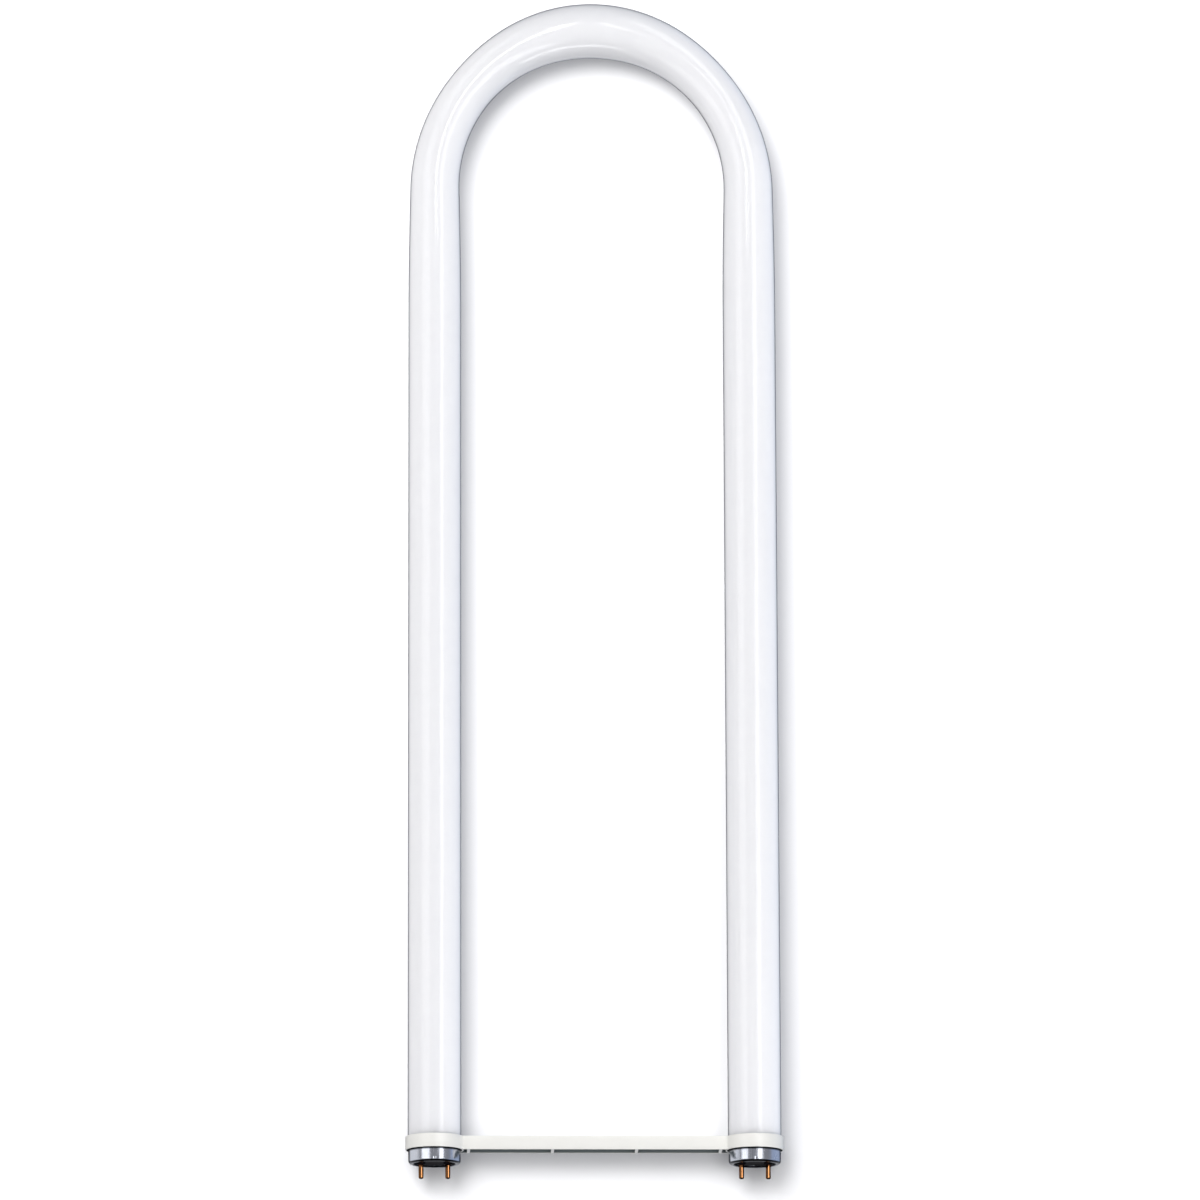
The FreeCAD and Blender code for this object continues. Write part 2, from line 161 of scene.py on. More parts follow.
@dataclass(frozen=True)
class Finish:
    """A real material, with patches of a second shade and a fine grain that breaks up its gloss.

    Widths of patches and grain and the grain's depth are in millimetres. A stretch under 1 draws the grain
    out along that axis, as drawing and turning do. Detail is the number of finer steps in a pattern.
    """

    name: str
    colour: str
    shade: str
    patch: float
    roughness: float
    grain: float
    depth: float
    roughness_spread: float = 0.06
    stretch: tuple[float, float, float] = (1.0, 1.0, 1.0)
    metallic: float = 0.0
    edge_tint: str = "#FFFFFF"
    specular: float = 0.5
    patch_detail: float = 3.0
    patch_breakup: float = 0.55
    grain_detail: float = 2.0
    relief: float = 0.5

    def material(self) -> Material:
        """Make the Blender material.

        Returns:
            The material, named for the real one.
        """
        made = bpy.data.materials.new(self.name)
        made.use_nodes = True
        made.diffuse_color = linear(self.colour)
        tree = made.node_tree
        shader = tree.nodes["Principled BSDF"]
        shader.inputs["Metallic"].default_value = self.metallic
        shader.inputs["Roughness"].default_value = self.roughness
        shader.inputs["Specular IOR Level"].default_value = self.specular
        shader.inputs["Specular Tint"].default_value = linear(self.edge_tint)
        self.paint(tree, shader, add_node(tree, "ShaderNodeTexCoord").outputs["Object"])
        return made

    def paint(self, tree: NodeTree, shader: Node, place: NodeSocket) -> None:
        """Link the patches to the colour, and the grain to roughness and normal.

        Args:
            tree: The material's node tree.
            shader: The material's shader.
            place: Object coordinates.
        """
        tree.links.new(self.patches(tree, place), shader.inputs["Base Color"])
        height, normal = self.grained(tree, place)
        gloss = add_node(tree, "ShaderNodeMapRange", None, {
            "Value": height, "From Min": NOISE_LOW, "From Max": NOISE_HIGH,
            "To Min": self.roughness - self.roughness_spread,
            "To Max": self.roughness + self.roughness_spread})
        tree.links.new(gloss.outputs[0], shader.inputs["Roughness"])
        tree.links.new(normal, shader.inputs["Normal"])

    def grained(self, tree: NodeTree, place: NodeSocket) -> tuple[NodeSocket, NodeSocket]:
        """Lay the finish's grain, drawn out along its stretch.

        Args:
            tree: The material's node tree.
            place: Object coordinates.

        Returns:
            The grain's height and the normal that it gives.
        """
        drawn = add_node(tree, "ShaderNodeMapping", None, {"Vector": place, "Scale": self.stretch})
        grain = add_node(tree, "ShaderNodeTexNoise", None, {
            "Vector": drawn.outputs["Vector"], "Scale": per_mm(self.grain), "Detail": self.grain_detail})
        bump = add_node(tree, "ShaderNodeBump", None, {
            "Height": grain.outputs[0], "Distance": self.depth * MM, "Strength": self.relief})
        return grain.outputs[0], bump.outputs["Normal"]

    def patches(self, tree: NodeTree, place: NodeSocket) -> NodeSocket:
        """Give the finish's colour, varied in soft patches towards its shade.

        Args:
            tree: The material's node tree.
            place: Object coordinates.

        Returns:
            The varied colour.
        """
        clouds = add_node(tree, "ShaderNodeTexNoise", None, {
            "Vector": place, "Scale": per_mm(self.patch), "Detail": self.patch_detail,
            "Roughness": self.patch_breakup})
        colour = add_node(tree, "ShaderNodeMix", COLOURS, {
            "Factor": clouds.outputs[0], FIRST: linear(self.colour), SECOND: linear(self.shade)})
        return colour.outputs[MIXED]


@dataclass(frozen=True)
class CoatedGlass(Finish):
    """Clear drawn glass with a white phosphor powder on its inside.

    The eye sees a soft chalky white that light spreads through, under a hard gloss that is faintly wavy
    along the tube, with a painted dark reflection, a thin cool line, at each edge. The colour turns a little
    greyer towards the bases. The grain is the glass's waves.
    """

    rim: str = "#3A435C"
    rim_start: float = 0.62
    end_tint: str = "#ECECEE"
    end_reach: float = 70.0
    base_y: float = 0.0
    scatter: float = 8.0
    coat_roughness: float = 0.08
    coat_ior: float = 1.5
    grain_detail: float = 1.0
    relief: float = 0.35

    def patches(self, tree: NodeTree, place: NodeSocket) -> NodeSocket:
        """Give the powder's colour, which turns greyer towards the bases and ends in a painted dark
        reflection at the edges.

        Args:
            tree: The material's node tree.
            place: Object coordinates.

        Returns:
            The varied colour.
        """
        along = add_node(tree, "ShaderNodeSeparateXYZ", None, {"Vector": place})
        greyer_share = add_node(tree, "ShaderNodeMapRange", EASED, {
            "Value": along.outputs["Y"], "From Min": self.base_y * MM,
            "From Max": (self.base_y + self.end_reach) * MM, "To Min": 1.0, "To Max": 0.0})
        powder = add_node(tree, "ShaderNodeMix", COLOURS, {
            "Factor": greyer_share.outputs[0], FIRST: super().patches(tree, place), SECOND: linear(self.end_tint)})
        # Painted reflection: the colour darkens to a cool line towards each edge, where the glass is seen
        # edge on
        facing = add_node(tree, "ShaderNodeLayerWeight", None, {"Blend": 0.5})
        wall = add_node(tree, "ShaderNodeMapRange", EASED, {
            "Value": facing.outputs["Facing"], "From Min": self.rim_start, "From Max": 1.0})
        seen = add_node(tree, "ShaderNodeMix", COLOURS, {
            "Factor": wall.outputs[0], FIRST: powder.outputs[MIXED], SECOND: linear(self.rim)})
        return seen.outputs[MIXED]

    def paint(self, tree: NodeTree, shader: Node, place: NodeSocket) -> None:
        """Link the powder's colour, and the glass's waves to its gloss.

        Args:
            tree: The material's node tree.
            shader: The material's shader.
            place: Object coordinates.
        """
        tree.links.new(self.patches(tree, place), shader.inputs["Base Color"])
        _, waves = self.grained(tree, place)
        tree.links.new(waves, shader.inputs["Coat Normal"])
        shader.inputs["Subsurface Weight"].default_value = 1.0
        shader.inputs["Subsurface Radius"].default_value = (1.0, 1.0, 1.0)
        shader.inputs["Subsurface Scale"].default_value = self.scatter * MM
        shader.inputs["Coat Weight"].default_value = 1.0
        shader.inputs["Coat Roughness"].default_value = self.coat_roughness
        shader.inputs["Coat IOR"].default_value = self.coat_ior


@dataclass(frozen=True)
class CapAluminium(Finish):
    """Bright aluminium, drawn to a cup.

    The eye sees the studio in it in upright bands, between a dark line of painted shade where the collar
    stands over it and a rolled rim painted as dark as the insulator, a painted shade and reflection.
    """

    grime: str = "#0E101A"
    grime_width: float = 1.3
    grime_fade: float = 1.0
    collar_y: float = 0.0
    rim_shade_width: float = 1.1
    rim_shade_fade: float = 0.5
    base_y: float = 0.0

    def patches(self, tree: NodeTree, place: NodeSocket) -> NodeSocket:
        """Give the metal's colour, which turns to a painted shade at the collar's edge and at the rim.

        Args:
            tree: The material's node tree.
            place: Object coordinates.

        Returns:
            The varied colour.
        """
        along = add_node(tree, "ShaderNodeSeparateXYZ", None, {"Vector": place})
        collar_shade_end = self.collar_y - self.grime_width
        rim_shade_end = self.base_y + self.rim_shade_width
        # Painted shade: a dark line on the metal just below the collar's edge
        collar_shaded = add_node(tree, "ShaderNodeMapRange", EASED, {
            "Value": along.outputs["Y"], "From Min": collar_shade_end * MM,
            "From Max": (collar_shade_end + self.grime_fade) * MM})
        # Painted shade and reflection: the rolled rim darkened to the insulator's tone
        rim_shaded = add_node(tree, "ShaderNodeMapRange", EASED, {
            "Value": along.outputs["Y"], "From Min": rim_shade_end * MM,
            "From Max": (rim_shade_end - self.rim_shade_fade) * MM})
        dark = add_node(tree, "ShaderNodeMath", {"operation": "MAXIMUM"}, {
            0: collar_shaded.outputs[0], 1: rim_shaded.outputs[0]})
        colour = add_node(tree, "ShaderNodeMix", COLOURS, {
            "Factor": dark.outputs[0], FIRST: super().patches(tree, place), SECOND: linear(self.grime)})
        return colour.outputs[MIXED]


@dataclass(frozen=True)
class RibbedMoulding(Finish):
    """Satin white plastic, moulded in cells.

    The eye sees a warm, even white, and dark slots where the cells open, with a painted shade, a dull grey,
    in them.
    """

    film: str = "#868E8E"
    film_start: float = 0.08

    def patches(self, tree: NodeTree, place: NodeSocket) -> NodeSocket:
        """Give the plastic's colour, which turns to the painted shade a little way into a recess.

        Args:
            tree: The material's node tree.
            place: Object coordinates.

        Returns:
            The varied colour.
        """
        depth = add_node(tree, "ShaderNodeAttribute", {"attribute_name": RECESS})
        # Painted shade: the recess mask turns the white to a dull grey in the cells and bores
        share = add_node(tree, "ShaderNodeMapRange", EASED, {
            "Value": depth.outputs["Fac"], "From Max": self.film_start})
        colour = add_node(tree, "ShaderNodeMix", COLOURS, {
            "Factor": share.outputs[0], FIRST: super().patches(tree, place), SECOND: linear(self.film)})
        return colour.outputs[MIXED]


# Mesh helpers


def spun(profile: Sequence[tuple[float, float, float]], centre: Vector, steps: int) -> BMesh:
    """Turn a closed or axis-to-axis outline about an axis along Y.

    Args:
        profile: Corners as (radius, height, rounding), in millimetres. A first and last corner with a
            radius of 0 leave the outline open on the axis, and otherwise it is closed.
        centre: Point of the axis from which heights are measured, in metres.
        steps: Number of faces round the axis.

    Returns:
        A closed mesh with its normals outwards.
    """
    mesh = bmesh.new()
    corners = [mesh.verts.new(centre + Vector((radius, height, 0)) * MM) for radius, height, _ in profile]
    for first, second in zip(corners, corners[1:]):
        mesh.edges.new((first, second))
    if profile[0][0] > 0:
        mesh.edges.new((corners[-1], corners[0]))
    for corner, (_, _, rounding) in zip(corners, profile):
        if rounding:
            bmesh.ops.bevel(mesh, geom=[corner], offset=rounding * MM, offset_type="OFFSET",
                            segments=CORNER_SEGMENTS, profile=0.5, affect="VERTICES", material=-1,
                            clamp_overlap=True)
    bmesh.ops.spin(mesh, geom=mesh.verts[:] + mesh.edges[:], cent=centre, axis=(0, 1, 0), dvec=(0, 0, 0),
                   angle=math.tau, steps=steps, use_merge=True, use_duplicate=False)
    bmesh.ops.remove_doubles(mesh, verts=mesh.verts, dist=MERGE_DISTANCE)
    bmesh.ops.recalc_face_normals(mesh, faces=mesh.faces)
    return mesh


def new_piece(mesh: BMesh, name: str, finish: Material,
              stands_for: Iterable[str]) -> Object:
    """Make a finished piece of a mesh, riding on the lamp in place of its CAD nodes.

    Args:
        mesh: The piece's mesh, in the lamp's frame. It is freed.
        name: Name of the piece.
        finish: Material of the whole piece.
        stands_for: Names of the CAD nodes that the piece replaces.

    Returns:
        The piece.
    """
    data = bpy.data.meshes.new(name)
    mesh.to_mesh(data)
    mesh.free()
    data.shade_smooth()
    data.set_sharp_from_angle(angle=SHARP_ANGLE)
    data.materials.append(finish)
    piece = bpy.data.objects.new(name, data)
    bpy.context.scene.collection.objects.link(piece)
    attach(piece, BODY)
    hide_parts(*stands_for)
    log.info("piece %s: %d faces", name, len(data.polygons))
    return piece


def dress_node(name: str, finish: Material) -> None:
    """Give a CAD node that stays in the scene its finished material.

    Args:
        name: Name of the node.
        finish: Material of the whole node.
    """
    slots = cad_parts[name].data.materials
    slots.clear()
    slots.append(finish)
    log.info("node %s dressed in %s", name, finish.name)


# Sub-assemblies


@dataclass
class Layout:
    """Places that the lamp's pieces share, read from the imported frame, in millimetres."""

    leg_x: float = field(init=False)
    axis_z: float = field(init=False)
    base_y: float = field(init=False)
    bend_y: float = field(init=False)

    def __post_init__(self) -> None:
        """Measure the right end cap and the tube."""
        low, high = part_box("right_end_cap")
        self.leg_x = (low.x + high.x) / 2 / MM
        self.axis_z = (low.z + high.z) / 2 / MM
        self.base_y = low.y / MM
        self.bend_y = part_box("glass_tube")[1].y / MM

    def base_middle(self, across: float) -> Vector:
        """Point on the base face's plane and the tube's axis, this far across the lamp, in metres."""
        return Vector((across, self.base_y, self.axis_z)) * MM


@dataclass
class GlassTube:
    """The bent tube: two legs with necked ends, and a bend that is drawn in at its shoulders."""

    layout: Layout
    diameter: float = 25.4
    waist_diameter: float = 22.6
    crown_diameter: float = 26.5
    lift: float = 4.0
    run_in: float = 60.0
    waist_share: float = 0.65
    neck_diameter: float = 22.8
    end_height: float = 5.5
    end_round: float = 2.0
    end_steps: int = 6
    neck_top: float = 10.7
    shoulder: float = 1.5
    stub_diameter: float = 4.0
    stub_tip_diameter: float = 1.8
    stub_length: float = 1.6
    segments: int = 96
    ring_gap: float = 2.5

    @property
    def spring_height(self) -> float:
        """Height over the base face at which the straight legs start to bend."""
        crown = self.layout.bend_y - self.layout.base_y - self.crown_diameter / 2
        return crown - self.layout.leg_x - self.lift

    @property
    def centre_step(self) -> Vector:
        """Step from an outer arc's centre to the middle arc's, two sides of a 3-4-5 triangle."""
        return Vector((3, 4)) * self.lift / 2

    @property
    def shoulder_radius(self) -> float:
        """Radius of the bend's two outer arcs."""
        return self.layout.leg_x + self.centre_step.x

    @property
    def crown_radius(self) -> float:
        """Radius of the bend's middle arc."""
        return self.shoulder_radius - self.centre_step.length

    @property
    def shoulder_turn(self) -> float:
        """Angle that each outer arc turns before it meets the middle one."""
        return math.atan2(self.centre_step.y, self.centre_step.x)

    @property
    def half_length(self) -> float:
        """Length of the centre line from the end of a leg's even part to the crown's middle."""
        crown = self.crown_radius * (math.pi / 2 - self.shoulder_turn)
        return self.run_in + self.shoulder_radius * self.shoulder_turn + crown

    def ring(self, across: float, height: float, turn: float, radius: float) -> Matrix:
        """Place of a unit ring, its centre measured from the base face and turned about Z."""
        centre = self.layout.base_middle(across) + Vector((0, height * MM, 0))
        return Matrix.LocRotScale(centre, Euler((0, 0, turn)), Vector((radius, radius, radius)) * MM)

    def radius_at(self, length: float) -> float:
        """Ease the tube's radius between leg, waist and crown.

        Args:
            length: Distance along the centre line from the end of the leg's even part.

        Returns:
            The radius there.
        """
        waist_at = self.run_in + self.waist_share * self.shoulder_radius * self.shoulder_turn
        if length < waist_at:
            share, ends = length / waist_at, (self.diameter, self.waist_diameter)
        else:
            share = (length - waist_at) / (self.half_length - waist_at)
            ends = (self.waist_diameter, self.crown_diameter)
        ease = (1 - math.cos(math.pi * share)) / 2
        return (ends[0] + (ends[1] - ends[0]) * ease) / 2

    def bend_ring(self, length: float) -> Matrix:
        """Place a ring of the right half on the centre line.

        Args:
            length: Distance along the centre line from the end of the leg's even part.

        Returns:
            Place, turn and size of a unit ring.
        """
        past = length - self.run_in
        radius = self.radius_at(length)
        if past < 0:
            return self.ring(self.layout.leg_x, self.spring_height + past, 0.0, radius)
        arc, turn = self.shoulder_radius, past / self.shoulder_radius
        centre = Vector((self.layout.leg_x - arc, 0.0))
        if turn > self.shoulder_turn:
            arc = self.crown_radius
            turn = self.shoulder_turn + (past - self.shoulder_radius * self.shoulder_turn) / arc
            centre = Vector((0.0, self.centre_step.y))
        place = centre + Vector((math.cos(turn), math.sin(turn))) * arc
        return self.ring(place.x, self.spring_height + place.y, turn, radius)

    def leg_rings(self) -> list[Matrix]:
        """Place the rings of the right leg's end.

        Returns:
            Places from the tip of the exhaust stub to the even part.
        """
        neck_radius = self.neck_diameter / 2
        profile = [
            (self.end_height - self.stub_length, self.stub_tip_diameter / 2),
            (self.end_height, self.stub_diameter / 2),
        ]
        for step in range(self.end_steps + 1):
            angle = math.pi / 2 * step / self.end_steps
            profile.append((self.end_height + self.end_round * (1 - math.cos(angle)),
                            neck_radius - self.end_round * (1 - math.sin(angle))))
        profile += [(self.neck_top, neck_radius), (self.neck_top + self.shoulder, self.diameter / 2)]
        return [self.ring(self.layout.leg_x, height, 0.0, radius) for height, radius in profile]

    def half_rings(self) -> list[Matrix]:
        """Rings of the right half, from its end to just before the crown's middle."""
        count = math.ceil(self.half_length / self.ring_gap)
        return self.leg_rings() + [self.bend_ring(self.half_length * step / count) for step in range(count)]

    def build(self, finish: Material) -> Object:
        """Sweep a ring along the whole tube and close both ends.

        Args:
            finish: Material of the tube.

        Returns:
            The tube's piece.
        """
        right = self.half_rings()
        other_way = Matrix.Scale(-1, 4, (1, 0, 0))
        left = [other_way @ place for place in reversed(right)]
        places = right + [self.bend_ring(self.half_length)] + left
        mesh = bmesh.new()
        upright = Matrix.Rotation(math.pi / 2, 4, "X")
        bmesh.ops.create_circle(mesh, segments=self.segments, radius=1.0, matrix=places[0] @ upright)
        loop = mesh.edges[:]
        bmesh.ops.contextual_create(mesh, geom=loop)
        for last, following in zip(places, places[1:]):
            made = bmesh.ops.extrude_edge_only(mesh, edges=loop)["geom"]
            ring = [item for item in made if isinstance(item, BMVert)]
            loop = [item for item in made if isinstance(item, BMEdge)
                    and all(end in ring for end in item.verts)]
            bmesh.ops.transform(mesh, matrix=following @ last.inverted(), verts=ring)
        bmesh.ops.contextual_create(mesh, geom=loop)
        bmesh.ops.recalc_face_normals(mesh, faces=mesh.faces)
        return new_piece(mesh, "bent_tube", finish, ["glass_tube"])


@dataclass
class BiPinBase:
    """One leg's base: an aluminium cap closed by an insulator that carries two contact pins."""

    layout: Layout
    side: Side
    cap_radius: float = 12.4
    cap_wall: float = 0.4
    cap_corner: float = 1.6
    cap_length: float = 10.7
    opening_radius: float = 9.9
    lip_depth: float = 1.1
    lip_round: float = 0.5
    cap_steps: int = 120
    crimp_radius: float = 0.8
    crimp_depth: float = 0.2
    stake_radius: float = 0.3
    stake_depth: float = 0.15
    mark_spread: float = 1.5
    mark_cuts: int = 7
    seat_height: float = 2.7
    boss_rise: float = 0.2
    pin_pitch: float = 12.7
    pin_diameter: float = 2.35
    pin_reach: float = 7.0
    pin_tip_round: float = 0.8
    shank_diameter: float = 2.85
    head_diameter: float = 4.05
    head_thickness: float = 0.6
    bore_diameter: float = 1.0
    tip_wall: float = 1.2
    pin_steps: int = 40

    @property
    def across(self) -> float:
        """Place of the leg's axis across the lamp."""
        return self.side.value * self.layout.leg_x

    def off_axis(self, place: Vector) -> Vector:
        """Offset of a place from the leg's axis."""
        return Vector((place.x - self.across * MM, 0, place.z - self.layout.axis_z * MM))

    def build_cap(self, finish: Material) -> Object:
        """Turn the cap's cup, its edge rolled in to a lip, and press its crimp and stake marks.

        Args:
            finish: Material of the cap.

        Returns:
            The cap's piece.
        """
        bore = self.cap_radius - self.cap_wall
        lip = self.opening_radius + self.cap_wall
        middle = self.layout.base_middle(self.across)
        mesh = spun([
            (self.opening_radius, self.lip_depth, 0.0),
            (self.opening_radius, 0.0, self.lip_round),
            (self.cap_radius, 0.0, self.cap_corner),
            (self.cap_radius, self.cap_corner + self.mark_spread * self.crimp_radius, 0.0),
            (self.cap_radius, self.cap_length, 0.0),
            (bore, self.cap_length, 0.0),
            (bore, self.cap_wall, self.cap_corner - self.cap_wall),
            (lip, self.cap_wall, 0.0),
            (lip, self.lip_depth, 0.0),
        ], middle, self.cap_steps)
        stake_height = (self.lip_round + self.lip_depth) / 2
        for direction in (-1, 1):
            crimp = middle + Vector((0, self.cap_corner, direction * self.cap_radius)) * MM
            self.press_mark(mesh, crimp, self.crimp_radius, -self.crimp_depth)
            stake = middle + Vector((0, stake_height, direction * self.opening_radius)) * MM
            self.press_mark(mesh, stake, self.stake_radius, self.stake_depth)
        name = f"{self.side.word}_cap_shell"
        return new_piece(mesh, name, finish, [f"{self.side.word}_end_cap"])

    def press_mark(self, mesh: BMesh, spot: Vector, radius: float, depth: float) -> None:
        """Dent a round wall, deepest in the middle of the mark.

        Args:
            mesh: The cap's mesh.
            spot: Middle of the mark, on the wall's surface, in metres.
            radius: Radius of the mark.
            depth: How far the wall moves away from the axis in the middle; below 0 it moves inwards.
        """
        wall = self.off_axis(spot).length
        skin = self.cap_wall / 2 * MM
        reach = radius * MM
        near = [face for face in mesh.faces
                if abs(self.off_axis(face.calc_center_median()).length - wall) < skin
                and min((vertex.co - spot).length for vertex in face.verts) < self.mark_spread * reach]
        edges = list(dict.fromkeys(edge for face in near for edge in face.edges))
        bmesh.ops.subdivide_edges(mesh, edges=edges, cuts=self.mark_cuts, use_grid_fill=True)
        for vertex in mesh.verts:
            share = (vertex.co - spot).length / reach
            outward = self.off_axis(vertex.co)
            if share < 1 and abs(outward.length - wall) < skin:
                vertex.co += outward.normalized() * (1 - share ** 2) * depth * MM

    def build_pin(self, seat: Seat, finish: Material) -> Object:
        """Turn a hollow pin with its rounded tip, shouldered shank and inner head.

        Args:
            seat: Which of the base's two pins.
            finish: Material of the pin.

        Returns:
            The pin's piece.
        """
        across = self.across + self.side.value * seat.value * self.pin_pitch / 2
        head_height = self.seat_height + self.head_thickness
        mesh = spun([
            (0.0, -self.pin_reach, 0.0),
            (self.pin_diameter / 2, -self.pin_reach, self.pin_tip_round),
            (self.pin_diameter / 2, -self.boss_rise, 0.0),
            (self.shank_diameter / 2, -self.boss_rise, 0.0),
            (self.shank_diameter / 2, self.seat_height, 0.0),
            (self.head_diameter / 2, self.seat_height, 0.0),
            (self.head_diameter / 2, head_height, 0.0),
            (self.bore_diameter / 2, head_height, 0.0),
            (self.bore_diameter / 2, self.tip_wall - self.pin_reach, 0.0),
            (0.0, self.tip_wall - self.pin_reach, 0.0),
        ], self.layout.base_middle(across), self.pin_steps)
        word = f"{self.side.word}_{seat.word}"
        return new_piece(mesh, f"{word}_contact", finish, [f"{word}_pin"])

    def build(self, finishes: dict[Slot, Material]) -> list[Object]:
        """Build the cap and the pins, and dress the CAD nodes that stay.

        Args:
            finishes: Material of each slot.

        Returns:
            The base's pins.
        """
        self.build_cap(finishes[Slot.ALUMINIUM])
        dress_node(f"{self.side.word}_insulator", finishes[Slot.PHENOLIC])
        dress_node(f"{self.side.word}_cap_cement", finishes[Slot.CEMENT])
        for seat in Seat:
            dress_node(f"{self.side.word}_{seat.word}_lead_wire", finishes[Slot.WIRE])
        return [self.build_pin(seat, finishes[Slot.BRASS]) for seat in Seat]


@dataclass
class LegBrace:
    """The moulded brace: a collar round each leg and a ribbed bar between them, open towards the pins."""

    layout: Layout
    start: float = 6.7
    height: float = 6.4
    front: float = 4.5
    back: float = -9.5
    wall: float = 1.2
    edge_round: float = 0.5
    blend: float = 1.5
    bore_radius: float = 12.85
    relief_radius: float = 13.25
    relief_height: float = 4.0
    relief_ledge: float = 0.05
    collar_radius: float = 13.85
    rib_count: int = 4
    rib_thickness: float = 1.4
    rib_setback: float = 2.4
    arc_steps: int = 64
    blend_cuts: int = 7
    bar_rows: int = 12

    def rib_places(self) -> list[float]:
        """Work out where the right half's ribs stand.

        Returns:
            Places across the lamp, from the middle outwards.
        """
        last = self.layout.leg_x - self.collar_radius - self.rib_setback
        pitch = 2 * last / (self.rib_count - 1)
        return [last - pitch * step for step in reversed(range(self.rib_count // 2))]

    def plan_point(self, across: float, over_axis: float) -> Vector:
        """Point of the plan on the brace's open side, its height measured from the tube's axis."""
        return self.layout.base_middle(across) + Vector((0, self.start, over_axis)) * MM

    def blend_centre(self, face: float) -> Vector:
        """Work out the centre of the hollow arc between a bar face and the collar.

        Args:
            face: Height of the bar face over the axis.

        Returns:
            The centre, on the brace's open side.
        """
        rise = face + math.copysign(self.blend, face)
        run = math.sqrt((self.collar_radius + self.blend) ** 2 - rise ** 2)
        return self.plan_point(self.layout.leg_x - run, rise)

    def draw_half_plan(self) -> BMesh:
        """Draw the right half's plan as faces: wall rows, cells and ribs of the bar, then the collar.

        Returns:
            A flat mesh on the brace's open side.
        """
        mesh = bmesh.new()
        mesh.verts.layers.float.new(RECESS)
        rows = [self.back, self.back + self.wall, self.front - self.wall, self.front]
        column = [mesh.verts.new(self.plan_point(0.0, row)) for row in rows]
        edges = [mesh.edges.new(pair) for pair in zip(column, column[1:])]
        bmesh.ops.subdivide_edges(mesh, edges=[edges[1]], cuts=self.bar_rows - 1)
        lines = mesh.edges[:]
        stops = [rib + half * self.rib_thickness / 2 for rib in self.rib_places() for half in (-1, 1)]
        here = 0.0
        for stop in stops:
            lines, verts = self.extrude_line(mesh, lines)
            bmesh.ops.translate(mesh, verts=verts, vec=((stop - here) * MM, 0, 0))
            here = stop
        self.join_collar(mesh, lines)
        return mesh

    def extrude_line(self, mesh: BMesh, lines: list[BMEdge]) -> tuple[list[BMEdge], list[BMVert]]:
        """Extrude a line of edges in place.

        Args:
            mesh: The plan's mesh.
            lines: Edges to extrude.

        Returns:
            The new line's edges and its vertices.
        """
        made = bmesh.ops.extrude_edge_only(mesh, edges=lines)["geom"]
        verts = [item for item in made if isinstance(item, BMVert)]
        fresh = set(verts)
        edges = [item for item in made if isinstance(item, BMEdge) and set(item.verts) <= fresh]
        return edges, verts

    def join_collar(self, mesh: BMesh, lines: list[BMEdge]) -> None:
        """Carry the bar's plan up to the collar, blend its corners and spin the collar's ring.

        Args:
            mesh: The plan's mesh.
            lines: The bar's last line of edges.
        """
        hub = self.plan_point(self.layout.leg_x, 0.0)
        lines, verts = self.extrude_line(mesh, lines)
        ends = sorted(verts, key=lambda vertex: vertex.co.z)
        ends[0].co, ends[-1].co = self.touch_point(self.back), self.touch_point(self.front)
        for vertex in ends[1:-1]:
            rise = vertex.co.z - hub.z
            vertex.co.x = hub.x - math.sqrt((self.collar_radius * MM) ** 2 - rise ** 2)
        for face in (self.back, self.front):
            self.blend_corner(mesh, face)
        round_line = self.collar_radius * MM
        lines = [edge for edge in mesh.edges
                 if all(abs((end.co - hub).length - round_line) < MERGE_DISTANCE for end in edge.verts)]
        lines, verts = self.extrude_line(mesh, lines)
        shrink = self.relief_radius / self.collar_radius
        bmesh.ops.scale(mesh, vec=(shrink, 1, shrink), space=Matrix.Translation(-hub), verts=verts)
        low, *_, top = sorted(verts, key=lambda vertex: vertex.co.z)
        spoke = max(top.link_edges, key=lambda edge: (edge.other_vert(top).co - hub).length)
        begin = math.atan2(top.co.z - hub.z, top.co.x - hub.x)
        end = math.atan2(low.co.z - hub.z, low.co.x - hub.x)
        bmesh.ops.spin(mesh, geom=[spoke, *spoke.verts], cent=hub, axis=(0, 1, 0), dvec=(0, 0, 0),
                       angle=(begin - end) % math.tau, steps=self.arc_steps, use_duplicate=False)
        bmesh.ops.remove_doubles(mesh, verts=mesh.verts, dist=LOOSE_DISTANCE)

    def touch_point(self, face: float) -> Vector:
        """Work out where the hollow arc at a bar face meets the collar.

        Args:
            face: Height of the bar face over the axis.

        Returns:
            The touch point, on the brace's open side.
        """
        hub = self.plan_point(self.layout.leg_x, 0.0)
        share = self.collar_radius / (self.collar_radius + self.blend)
        return hub + (self.blend_centre(face) - hub) * share

    def blend_corner(self, mesh: BMesh, face: float) -> None:
        """Bow the plan's edge that leads to a touch point round the blend's centre.

        Args:
            mesh: The plan's mesh.
            face: Height of the bar face over the axis.
        """
        touch, centre = self.touch_point(face), self.blend_centre(face)
        level = self.plan_point(0.0, face).z
        end = min(mesh.verts, key=lambda vertex: (vertex.co - touch).length)
        edge = min(end.link_edges, key=lambda edge: abs(edge.other_vert(end).co.z - level))
        cut = bmesh.ops.subdivide_edges(mesh, edges=[edge], cuts=self.blend_cuts)["geom_inner"]
        for vertex in (item for item in cut if isinstance(item, BMVert)):
            if vertex.co.x < centre.x:
                vertex.co.z = level
            else:
                vertex.co = centre + (vertex.co - centre).normalized() * self.blend * MM

